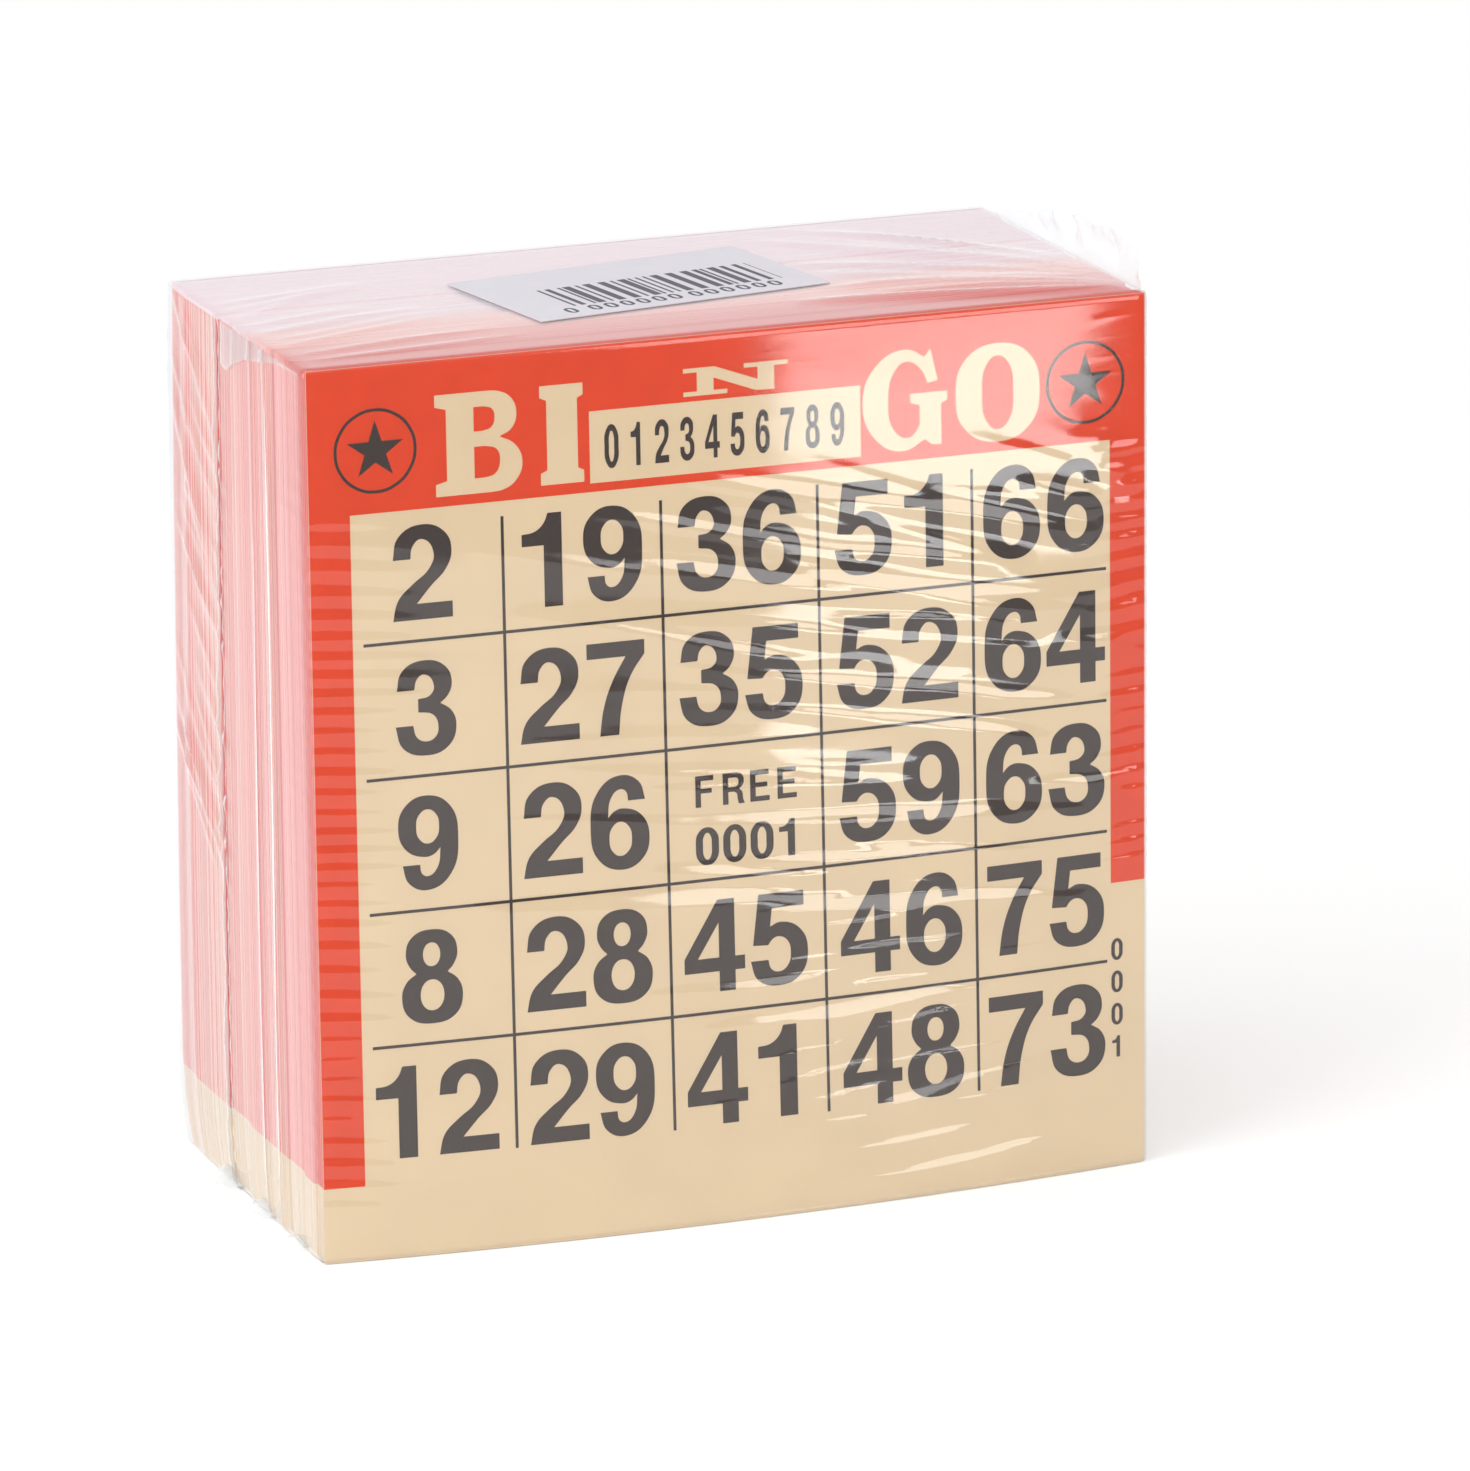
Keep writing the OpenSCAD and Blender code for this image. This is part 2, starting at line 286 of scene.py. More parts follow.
def new_material(name):
    """An empty node material, its tree and its object coordinates."""
    material = bpy.data.materials.new(name)
    material.use_nodes = True
    tree = material.node_tree
    tree.nodes.clear()
    return material, tree, add_node(tree, "TexCoord").outputs["Object"]


def show(tree, shader, kind="OutputMaterial"):
    """Links a shader to the output of its tree."""
    add_node(tree, kind, {"Surface": shader.outputs[0]})


def calc(tree, operation, a, b, **settings):
    """Result of one math node."""
    return add_node(tree, "Math", {0: a, 1: b}, operation=operation, **settings).outputs[0]


def mix(tree, share, a, b):
    """Colour at a share of the way from one colour to another."""
    blend = add_node(tree, "Mix", {"Factor": share, "A": a, "B": b}, data_type="RGBA")
    return blend.outputs["Result"]


def ramp(tree, value, low, high, start=0.0, end=1.0):
    """A value mapped from one range to another, and held at its ends."""
    span = {"From Min": low, "From Max": high, "To Min": start, "To Max": end}
    return add_node(tree, "MapRange", {"Value": value, **span}).outputs["Result"]


def noise(tree, position, size_mm, detail):
    """Soft noise with features of that size in millimetres."""
    values = {"Vector": position, "Scale": per_mm(size_mm), "Detail": detail}
    return add_node(tree, "TexNoise", values).outputs["Fac"]


def relief(tree, height, strength):
    """Normal of a surface with fine relief."""
    values = {"Height": height, "Strength": strength, "Distance": RELIEF}
    return add_node(tree, "Bump", values).outputs["Normal"]


def colours():
    return bpy.context.scene.pack_colours


def per_mm(size_mm):
    """Texture scale for a feature of that size in millimetres, on coordinates in metres."""
    return 1.0 / (size_mm * MM)


def mottled(tree, position, hex_value, size_mm, spread):
    """A colour that varies a little in brightness over patches of that size."""
    gain = ramp(tree, noise(tree, position, size_mm, 4.0), 0.3, 0.7, 1 - spread, 1 + spread)
    hue = add_node(tree, "HueSaturation", {"Value": gain, "Color": linear(hex_value)})
    return hue.outputs["Color"]


def paper(name, tint, patch_mm, spread, rough, sheen, fibre_mm, grain):
    """Paper, or ink on paper: matt and a little cloudy, with a felt of short fibres."""
    material, tree, position = new_material(name)
    show(tree, add_node(tree, "BsdfPrincipled", {
        "Base Color": mottled(tree, position, getattr(colours(), tint), patch_mm, spread),
        "Roughness": rough,
        "Specular IOR Level": sheen,
        "Normal": relief(tree, noise(tree, position, fibre_mm, 3.0), grain),
    }))
    return material


def cut_edges(name):
    """Guillotined newsprint: cream, and pink where red print bleeds over the cut, sheet by sheet. The top's
    rear edges carry a painted reflection.
    """
    sizes = bpy.context.scene.card_sizes
    material, tree, position = new_material(name)
    axes = add_node(tree, "SeparateXYZ", {"Vector": position}).outputs
    times, either = partial(calc, tree, "MULTIPLY"), partial(calc, tree, "MAXIMUM")
    over, under = partial(calc, tree, "GREATER_THAN"), partial(calc, tree, "LESS_THAN")
    less, tone = partial(calc, tree, "SUBTRACT"), partial(mix, tree)

    def behind(start_mm, end_mm):
        """0 before one distance from the front of the stack and 1 after the other."""
        return ramp(tree, axes["Y"], STACK_FRONT + start_mm * MM, STACK_FRONT + end_mm * MM)

    rim = CARD_W / 2 - EDGE_REACH
    on_left = times(under(axes["X"], -rim), over(axes["Z"], BED + sizes.left_bar_end))
    on_right = times(over(axes["X"], rim), over(axes["Z"], BED + sizes.right_bar_end))
    on_top = over(axes["Z"], BED + CARD_H - EDGE_REACH)
    printed = either(either(on_left, on_right), on_top)
    # Ink that each sheet took over its cut edge, drawn with the sheets. Over the rear of the top it is
    # faded and the edges whitened:
    # this is a painted reflection of the film's white haze, not wear
    bleed = add_node(tree, "Attribute", attribute_name="bleed").outputs["Fac"]
    top_extra, haze_fade, rear_pale = 0.34, 0.6, 0.6
    # Painted reflection: the top from 8 to 24 mm behind the front, where the film's white haze is painted
    # into the edges
    top_rear_haze = times(on_top, behind(8.0, 24.0))
    bleed = calc(tree, "ADD", bleed, less(times(on_top, top_extra), times(top_rear_haze, haze_fade)))
    # Edges whitened by that painted haze on the top's rear, and part way on every side from 38 to 50 mm
    # behind the front
    whitened = either(top_rear_haze, times(behind(38.0, 50.0), rear_pale))
    bare = tone(whitened, linear(colours().edge_bare), linear(colours().edge_top))
    none, some, full = 0.1, 0.45, 1.0
    pale = tone(ramp(tree, bleed, none, some), bare, linear(colours().edge_pale))
    pink = tone(ramp(tree, bleed, some, full), pale, linear(colours().edge_deep))
    # The flat faces of a sheet are cream, and show a line of red print in front where it runs to the edge
    normal = add_node(tree, "NewGeometry").outputs["True Normal"]
    across = add_node(tree, "SeparateXYZ", {"Vector": normal}).outputs["Y"]
    inked = times(less(printed, top_rear_haze), under(across, -FLAT_FACE))
    face = tone(inked, linear(colours().paper), linear(colours().edge_deep))
    flat = over(calc(tree, "ABSOLUTE", across, 0.0), FLAT_FACE)
    mixed = tone(flat, tone(printed, bare, pink), tone(top_rear_haze, face, bare))
    values = {"Base Color": mixed, "Roughness": 0.85, "Specular IOR Level": 0.2}
    show(tree, add_node(tree, "BsdfPrincipled", values))
    return material


def shrink_film(name, haze, mirror):
    """Clear polyolefin shrink film: what is behind shows through, and a gloss mirrors more at a slant."""
    material, tree, position = new_material(name)
    # Fine stretch marks, about a millimetre apart, finer than the modelled folds
    stretched = add_node(tree, "Mapping", {"Vector": position, "Scale": (0.25, 0.6, 1.0)})
    normal = relief(tree, noise(tree, stretched.outputs[0], 2.0, 2.0), 0.12)
    fresnel = add_node(tree, "Fresnel", {"IOR": 1.5, "Normal": normal}).outputs[0]
    # Only the outer face of the thin wall mirrors, at the share that both faces would
    outer = calc(tree, "SUBTRACT", 1.0, add_node(tree, "NewGeometry").outputs["Backfacing"])
    share = calc(tree, "MULTIPLY", calc(tree, "MULTIPLY", fresnel, mirror), outer, use_clamp=True)
    clear = add_node(tree, "BsdfTransparent", {"Color": linear(colours().film)})
    shine = {"Color": linear(WHITE), "Roughness": 0.06, "Normal": normal}
    gloss = add_node(tree, "BsdfAnisotropic", shine)
    skin = add_node(tree, "MixShader", {0: share, 1: clear.outputs[0], 2: gloss.outputs[0]})
    milk = add_node(tree, "BsdfDiffuse", {"Color": linear(WHITE)})
    show(tree, add_node(tree, "MixShader", {0: haze, 1: skin.outputs[0], 2: milk.outputs[0]}))
    return material


def finish(name):
    """The material of that name, made when it is first asked for."""
    if name in bpy.data.materials:
        return bpy.data.materials[name]
    if name in PAPERS:
        return paper(name, *PAPERS[name])
    if name in FILMS:
        return shrink_film(name, *FILMS[name])
    return cut_edges(name)


def finish_piece(name, mesh, material, body, slot, nodes=(), wall=0.0, side=0.0):
    """Links a mesh as a piece that rides on a body and stands for CAD nodes. Its finish slot is not used.

    Film is given the thickness of its wall, grown to the side that -1, 0 or 1 names.
    """
    piece = bpy.data.objects.new(name, mesh)
    bpy.context.scene.collection.objects.link(piece)
    mesh.materials.clear()
    mesh.materials.append(finish(material))
    if body:
        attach(piece, body)
    if nodes:
        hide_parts(*nodes)
    if wall:
        mesh.shade_smooth()
        solid = piece.modifiers.new("wall", "SOLIDIFY")
        solid.thickness = wall
        solid.offset = side
    return piece


def mesh_from(bm, name):
    """A mesh from a bmesh, which is then freed."""
    mesh = bpy.data.meshes.new(name)
    bm.to_mesh(mesh)
    bm.free()
    return mesh


def swell(points):
    """Moves points of the stack: the lower front bellies and the lower back splays, as loose paper does."""
    sizes = bpy.context.scene.film_sizes
    across = np.clip(points[:, 0] / (CARD_W / 2), -1.0, 1.0)
    above = np.maximum(points[:, 2] - BED, 0.0)
    up = np.clip(above / CARD_H, 0.0, 1.0)
    deep = np.clip((points[:, 1] - STACK_FRONT) / STACK_D, 0.0, 1.0)
    front = sizes.front_belly * (1 - across ** 2) * (1 - up) ** 1.3 * (1 - deep) ** 3
    # The feet of the rear cards curl in under the splay
    curl, curl_h = 0.95, 4.5 * MM
    foot = 1 - curl * np.exp(-above / curl_h)
    back = sizes.back_belly * (1 - up) ** 0.8 * deep ** 1.2 * foot
    moved = points.copy()
    moved[:, 1] += back - front
    return moved


def swollen(*axes):
    """The three coordinates of points, moved by the swelling."""
    return swell(np.stack(np.broadcast_arrays(*axes), axis=1)).T


def follow_face(points, face_y):
    """Moves flat points as a card's face, at rest in the plane y = face_y, moves under them."""
    on_face = points.copy()
    on_face[:, 1] = face_y
    return points + swell(on_face) - on_face


def values_of(items, key):
    """The vectors of a mesh's points or faces, one row for each."""
    values = np.empty(len(items) * 3)
    items.foreach_get(key, values)
    return values.reshape(-1, 3)


def points_of(mesh):
    return values_of(mesh.vertices, "co")


def set_points(mesh, points):
    mesh.vertices.foreach_set("co", points.ravel())
    mesh.update()


def box_mesh(low, high, cuts=()):
    """A bmesh block between two corners, cut evenly along X, Y and Z."""
    bm = bmesh.new()
    bmesh.ops.create_cube(bm, size=1.0)
    bmesh.ops.scale(bm, vec=Vector(high) - Vector(low), verts=bm.verts)
    bmesh.ops.translate(bm, vec=(Vector(high) + Vector(low)) / 2, verts=bm.verts)
    cut_along(bm, cuts)
    return bm


def cut_along(bm, cuts):
    """Cuts the long edges of a block evenly, along X, Y and Z."""
    for axis, count in enumerate(cuts):
        along = [
            e for e in bm.edges
            if e.calc_length() > SHORT_EDGE
            and abs((e.verts[1].co - e.verts[0].co).normalized()[axis]) > 0.99]
        if count:
            bmesh.ops.subdivide_edges(bm, edges=along, cuts=count, use_grid_fill=True)


def bent_sheet(name, steps, place):
    """A mesh sheet of steps by steps faces, its points placed by a function of their shares from 0 to 1."""
    bm = bmesh.new()
    bmesh.ops.create_grid(bm, x_segments=steps[0], y_segments=steps[1], size=0.5)
    mesh = mesh_from(bm, name)
    flat = points_of(mesh) + 0.5
    set_points(mesh, np.stack(place(flat[:, 0], flat[:, 1]), axis=1))
    return mesh


def sheet_piece(name, steps, places, wall, *finished):
    """A piece of film made of bent sheets, one for each placing function."""
    bm = bmesh.new()
    for place in places:
        sheet = bent_sheet(name, steps, place)
        bm.from_mesh(sheet)
        bpy.data.meshes.remove(sheet)
    finish_piece(name, mesh_from(bm, name), *finished, wall=wall)


def print_sizes():
    """Sizes of the print, in millimetres."""
    sizes = bpy.context.scene.card_sizes
    return SimpleNamespace(**{key: getattr(sizes, key) / MM for key in CardSizes.__annotations__})


def outline_curve(name):
    """An empty flat curve that fills what its splines enclose."""
    curve = bpy.data.curves.new(name, "CURVE")
    curve.dimensions = "2D"
    curve.fill_mode = "BOTH"
    curve.resolution_u = 5
    return curve


def add_outline(curve, points):
    """Adds one closed outline in millimetres. Points are corners, or smooth if a third value is true."""
    spline = curve.splines.new("BEZIER")
    spline.bezier_points.add(len(points) - 1)
    spline.use_cyclic_u = True
    for target, (x, z, *smooth) in zip(spline.bezier_points, points):
        target.co = (x * MM, z * MM, 0.0)
        kind = "AUTO" if any(smooth) else "VECTOR"
        target.handle_left_type = kind
        target.handle_right_type = kind


def add_glyph(curve, loops, left, foot, wide, high):
    """Adds a glyph's outlines, drawn 100 high, scaled to stand at a place on the card."""
    for loop in loops:
        add_outline(curve, [(left + x * wide, foot + z * high, smooth) for x, z, smooth in loop])


def add_bar(curve, x0, z0, x1, z1):
    add_outline(curve, [(x0, z0), (x1, z0), (x1, z1), (x0, z1)])


def add_number(curve, text, middle_x, middle_z, high, pitch):
    """Adds a number, centred on a point."""
    scale = high / 100
    run = pitch * (len(text) - 1) + 70 * scale
    left = middle_x - run / 2
    for i, digit in enumerate(text):
        add_glyph(curve, GLYPHS[digit], left + i * pitch, middle_z - high / 2, scale, scale)


def flat_mesh(curve, thick):
    """The mesh of a filled outline curve, lying flat, with its double points merged."""
    curve.extrude = thick / 2
    source = bpy.data.objects.new(curve.name, curve)
    mesh = bpy.data.meshes.new_from_object(source)
    bpy.data.objects.remove(source)
    bpy.data.curves.remove(curve)
    bm = bmesh.new()
    bm.from_mesh(mesh)
    bpy.data.meshes.remove(mesh)
    bmesh.ops.remove_doubles(bm, verts=bm.verts, dist=0.001 * MM)
    return bm


def print_mesh(curve, face_y, lift):
    """Turns a flat outline curve into a thin printed layer that follows a card's face."""
    sizes = bpy.context.scene.card_sizes
    name = curve.name
    bm = flat_mesh(curve, sizes.ink_t)
    step = 4.0 * MM
    for normal, span in ((Vector((1, 0, 0)), CARD_W), (Vector((0, 1, 0)), CARD_H)):
        for k in range(1, int(span / step) + 1):
            bmesh.ops.bisect_plane(
                bm, geom=bm.verts[:] + bm.edges[:] + bm.faces[:], dist=0.002 * MM,
                plane_co=normal * k * step, plane_no=normal)
    upright = Matrix.Rotation(math.radians(90), 4, "X")
    bmesh.ops.transform(bm, matrix=upright, verts=bm.verts)
    bmesh.ops.translate(bm, vec=(CARD_LOW.x, face_y - lift - sizes.ink_t / 2, BED), verts=bm.verts)
    mesh = mesh_from(bm, name)
    set_points(mesh, follow_face(points_of(mesh), face_y))
    return mesh


def red_outlines(curve, print_mm):
    """The red frame of a card, with the column letters and the number box left open."""
    wide, high = CARD_W / MM, CARD_H / MM
    bleed = 0.03
    head = high - print_mm.header_h
    left_w, left_end = print_mm.left_bar_w, print_mm.left_bar_end
    right_x, right_end = wide - print_mm.right_bar_w, print_mm.right_bar_end
    add_outline(curve, [
        (bleed, high - bleed), (wide - bleed, high - bleed), (wide - bleed, right_end),
        (right_x, right_end), (right_x, head), (left_w, head), (left_w, left_end), (bleed, left_end)])
    for letter, (left, foot, w, h) in LETTER_PLACES.items():
        span = max(p[0] for p in COLUMN_LETTERS[letter][0])
        add_glyph(curve, COLUMN_LETTERS[letter], left, foot, w / span, h / 100)
    add_bar(curve, *NUMBER_BOX)


def number_outlines(curve, print_mm, numbers):
    """The numbers in the cells, and the word and the serial number in the free cell."""
    small_pitch, word_h, serial_h = 3.35, 3.7, 4.4
    word_x, word_z, serial_x, serial_z = -1.1, 2.6, 0.4, -3.9
    for row, values in enumerate(numbers):
        middle_z = print_mm.grid_z + (4.5 - row) * print_mm.cell_h
        for column, value in enumerate(values):
            middle_x = print_mm.grid_x + (column + 0.5) * print_mm.cell_w + NUMBER_SHIFT[column]
            if value is not None:
                add_number(curve, str(value), middle_x, middle_z, print_mm.digit_h, print_mm.digit_pitch)
                continue
            left, foot = middle_x - 1.5 * small_pitch + word_x, middle_z + word_z - word_h / 2
            for k, letter in enumerate("FREE"):
                add_glyph(curve, GLYPHS[letter], left + k * small_pitch, foot, word_h / 100, word_h / 100)
            add_number(curve, "0001", middle_x + serial_x, middle_z + serial_z, serial_h, small_pitch)


def mark_outlines(curve):
    """Small marks: the serial number down the right edge, plain numerals in the box, a star at each end."""
    serial_x, serial_z, serial_step = 97.2, 25.2, 3.95
    box_x, box_z, box_step = 35.2, 90.4, 3.05
    ring_radii, star_radii = (4.9, 4.55), (3.5, 1.35)
    for k, digit in enumerate("0001"):
        add_glyph(curve, GLYPHS[digit], serial_x, serial_z - k * serial_step, 0.023, 0.026)
    for k in range(10):
        add_glyph(curve, GLYPHS[str(k)], box_x + k * box_step, box_z, 0.026, 0.05)
    for x, z in EMBLEM_PLACES:
        for radius in ring_radii:
            add_outline(curve, [
                (x + radius * math.cos(a), z + radius * math.sin(a), 1)
                for a in (math.radians(30 * k) for k in range(12))])
        add_outline(curve, [
            (x + r * math.sin(math.radians(36 * k)), z + r * math.cos(math.radians(36 * k)))
            for k, r in enumerate(star_radii * 5)])


def print_card(name, face_y, numbers, body):
    """Prints one card: red frame, rules, numbers and small marks."""
    print_mm = print_sizes()
    half, inset = print_mm.line_w / 2, print_mm.line_inset
    x0, z0, cell_w, cell_h = print_mm.grid_x, print_mm.grid_z, print_mm.cell_w, print_mm.cell_h
    low, high = 0.004 * MM, 0.020 * MM

    layers = {}
    for layer in ("red_print", "upright_rules", "level_rules", "numbers", "small_marks"):
        layers[layer] = outline_curve(f"{name}_{layer}")
    red_outlines(layers["red_print"], print_mm)
    for i in range(1, 5):
        x, z = x0 + i * cell_w, z0 + i * cell_h
        add_bar(layers["upright_rules"], x - half, z0 + inset, x + half, z0 + 5 * cell_h - inset)
        add_bar(layers["level_rules"], x0 + inset, z - half, x0 + 5 * cell_w - inset, z + half)
    number_outlines(layers["numbers"], print_mm, numbers)
    mark_outlines(layers["small_marks"])
    for layer, curve in layers.items():
        paint = "red_offset_ink" if layer == "red_print" else "grey_offset_ink"
        lift = high if layer in ("level_rules", "small_marks") else low
        finish_piece(f"{name}_{layer}", print_mesh(curve, face_y, lift), paint, body, "card_paper")


class BINGO_OT_front_card(bpy.types.Operator):
    """Build the front card with its print, and the print of the card behind it"""

    bl_idname = "bingo.front_card"
    bl_label = "Printed Cards"

    def execute(self, context):
        mesh = mesh_from(box_mesh(CARD_LOW, CARD_HIGH, (40, 0, 42)), "front_card_sheet")
        set_points(mesh, follow_face(points_of(mesh), STACK_FRONT))
        finish_piece("front_card_sheet", mesh, "cream_newsprint", CARD, "card_paper", ["front_card"])
        print_card("front_card", STACK_FRONT, FRONT_NUMBERS, CARD)
        print_card("second_card", STACK_FRONT + PITCH, SECOND_NUMBERS, STACK)
        return {"FINISHED"}


class BINGO_OT_lifts(bpy.types.Operator):
    """Build the lifts of loose cards behind the front card"""

    bl_idname = "bingo.lifts"
    bl_label = "Stack of Cards"

    def execute(self, context):
        draw = np.random.default_rng(11)
        # Rows of a sheet as shares of its height, closer together where its foot curls
        rows = (0.0, 0.02, 0.05, 0.1, 0.3, 0.6, 0.82, 1.0)
        # Sheets are drawn nearly as thick as their pitch, so the air between them doesn't darken the stack
        thick = 0.96 * PITCH
        # How far a card slips sideways at most, and how much shorter it may be cut, in mm
        most_slip, most_trim = 0.06, 0.08
        before = 1
        for number, count in enumerate(LIFT_CARDS):
            node = f"card_lift_{number + 1}"
            low, high = (np.array(c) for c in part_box(node))
            bm = box_mesh((0, 0, 0), (1, 1, 1), (3, 0, len(rows) - 2))
            each = len(bm.verts)
            first = bm.verts[:] + bm.edges[:] + bm.faces[:]
            for _ in range(count - 1):
                bmesh.ops.duplicate(bm, geom=first)
            mesh = mesh_from(bm, node)
            unit = points_of(mesh).reshape(count, each, 3)
            unit[..., 2] = np.interp(unit[..., 2], np.linspace(0, 1, len(rows)), rows)
            faces = STACK_FRONT + PITCH * (before + np.arange(count))
            before += count
            slip = draw.uniform(-most_slip, most_slip, count) * MM
            trim = draw.uniform(0.0, most_trim, count) * MM
            corner = np.stack([low[0] + slip, faces, np.full(count, low[2])], axis=1)
            wide, tall = high[0] - low[0], high[2] - low[2]
            size = np.stack([np.full(count, wide), np.full(count, thick), tall - trim], axis=1)
            points = (corner[:, None, :] + unit * size[:, None, :]).reshape(-1, 3)
            set_points(mesh, follow_face(points, np.repeat(faces, each)))
            bleed = self.bleed(draw, LIFT_BLEED[number], count)
            layer = mesh.attributes.new("bleed", "FLOAT", "POINT")
            layer.data.foreach_set("value", np.repeat(bleed, each))
            finish_piece(
                f"{node}_sheets", mesh, "guillotined_newsprint_edges", STACK, "card_paper", [node])
        return {"FINISHED"}

    def bleed(self, draw, share, count):
        """Ink on each cut edge: cards were cut a handful at a time. A lift's outer cards are pinker:
        painted shade of the steps between lifts.
        """
        new_handful, handful_spread, card_spread, first_extra, boundary_shade = 0.07, 0.06, 0.04, 0.22, 0.25
        handful = np.cumsum(draw.random(count) < new_handful)
        tint = draw.normal(0.0, handful_spread, handful[-1] + 1)[handful]
        bleed = share + tint + draw.normal(0.0, card_spread, count)
        bleed[1:] += first_extra * (np.diff(handful) > 0)
        # Painted shade: darker pink on the outer cards of each lift, where the steps between lifts would
        # shade the side
        bleed[:2] += boundary_shade
        bleed[-1] += boundary_shade
        return np.clip(bleed, 0, 1)


def smooth_step(value, low, high):
    """0 below low, 1 above high and a smooth rise between them; falls where high is the smaller."""
    share = np.clip((value - low) / (high - low), 0.0, 1.0)
    return share * share * (3 - 2 * share)


def line_folds(u, v, lines):
    """Height in mm at points u, v in mm of straight folds: start, end, width and height of each."""
    height = np.zeros_like(u)
    for u0, v0, u1, v1, wide, tall in lines:
        run = math.hypot(u1 - u0, v1 - v0)
        du, dv = (u1 - u0) / run, (v1 - v0) / run
        along = ((u - u0) * du + (v - v0) * dv) / run
        off = (u - u0) * dv - (v - v0) * du + 0.35 * np.sin(along * 4.0 + u0 + v1)
        ends = np.sin(np.clip(along, 0.0, 1.0) * np.pi) ** 0.7
        height += tall * ends * np.exp(-(np.abs(off) / wide) ** 1.4)
    return height


def fold_to(end, angle, run, wide, tall):
    """A straight fold that falls to an end point, at an angle in degrees and over a length."""
    angle = math.radians(angle)
    return end[0] - run * math.cos(angle), end[1] + run * math.sin(angle), *end, wide, tall


def fan_lines(seed, count):
    """Folds of the front film, spread from the right edge: high ones fall to it and low ones rise to it."""
    between = random.Random(seed).uniform
    lines = []
    for _ in range(count):
        z1 = between(2.0, 90.0)
        x1 = between(58.0, 102.0)
        angle = -9.0 + 0.32 * z1 + between(-4.0, 4.0)
        run = between(12.0, 52.0)
        wide = between(0.4, 1.1)
        tall = wide * between(0.05, 0.2) * (1.5 - z1 / 180) * min(1.0, 0.4 + z1 / 40)
        lines.append(fold_to((x1, z1), angle, run, wide, tall))
    # Fine ones across the lower right, and short steep ones in the upper right corner
    for _ in range(46):
        angle = between(-9.0, 1.0)
        run = between(16.0, 44.0)
        wide = between(0.42, 0.62)
        end = between(70.0, 101.0), between(2.0, 36.0)
        lines.append(fold_to(end, angle, run, wide, wide * between(0.15, 0.27)))
    for _ in range(14):
        angle = between(25.0, 60.0)
        run = between(7.0, 15.0)
        end = between(98.0, 102.0), between(80.0, 92.0)
        lines.append(fold_to(end, angle, run, 0.7, between(0.05, 0.13)))
    return lines


def front_folds(x, z, seed=5, count=150):
    """Height in mm of the folds of the front film, at points in mm from the card's lower left corner."""
    sizes = bpy.context.scene.film_sizes
    wave, tall = sizes.ripple / MM, sizes.ripple_h / MM
    below_header = smooth_step(z, 92.0, 80.0)
    height = line_folds(x, z, fan_lines(seed, count)) * (0.04 + 0.96 * below_header)
    height += below_header * 0.05 * (1 + np.sin(2 * np.pi * (z / 21.0 + x / 95.0) + 0.6))
    # Ripples beside the left edge, and weaker ones beside the right, mostly over the red bar
    within = smooth_step(z, 2.0, 9.0) * smooth_step(z, 92.0, 82.0)
    uneven = (0.7 + 0.3 * np.sin(z / 4.1 + 1.6 * np.sin(z / 2.3))) * (3.4 - 2.4 * z / 90.0)
    phase = 2 * np.pi * z / wave + 2.2 * np.sin(z / 9.0) + 1.1 * np.sin(z / 3.7) + 0.25 * x
    height += 1.2 * tall * uneven * within * np.exp(-(x / 8.0) ** 2) * (0.5 + 0.5 * np.sin(phase)) ** 2
    edge = CARD_W / MM - x
    phase = 2 * np.pi * z / wave + 2.6 * np.sin(z / 7.0) + 0.9 * np.sin(z / 3.1) + 0.3 * edge
    beside_bar = 0.15 + 0.6 * smooth_step(z, 30.0, 40.0)
    height += beside_bar * tall * uneven * np.exp(-(edge / 6.0) ** 2) * (0.5 + 0.5 * np.sin(phase)) ** 2
    return height


def side_folds(deep, z, turn):
    """Height in mm of the folds of a side film, at points in mm from the front and from the bed."""
    weld = (WELD_Y - STACK_FRONT) / MM
    # Puckers along the weld
    pucker = 0.5 + 0.5 * np.sin(2 * np.pi * z / 3.3 + 2.0 * np.sin(z / 6.0 + turn))
    height = 0.1 * np.exp(-((deep - weld) / 1.5) ** 2) * pucker
    # Slanting folds from the weld up to the top rear corner
    between = random.Random(21 + turn).uniform
    lines = []
    for _ in range(30):
        foot = between(34.0, 94.0)
        start = weld + between(-3.0, 5.0)
        run = between(8.0, 19.0)
        rise = between(0.5, 1.2) * run
        wide, tall = between(0.5, 0.9), between(0.15, 0.42)
        lines.append((start, foot, start + run, foot + rise, wide, tall))
    height += line_folds(deep, z, lines)
    # Upright folds over the steps between lifts
    for place, wide, tall in ((13.2, 0.9, 0.3), (18.6, 0.8, 0.2), (24.6, 0.7, 0.12), (43.0, 0.8, 0.15)):
        wander = 0.3 * np.sin(z / 17.0 + place + turn)
        height += tall * np.exp(-((deep - place - wander) / wide) ** 2)
    # Fine ripples carried round from the front
    phase = 2 * np.pi * z / 2.7 + 2.2 * np.sin(z / 9.0) + turn
    height += 0.04 * np.exp(-(deep / 6.0) ** 2) * (0.5 + 0.5 * np.sin(phase))
    return height


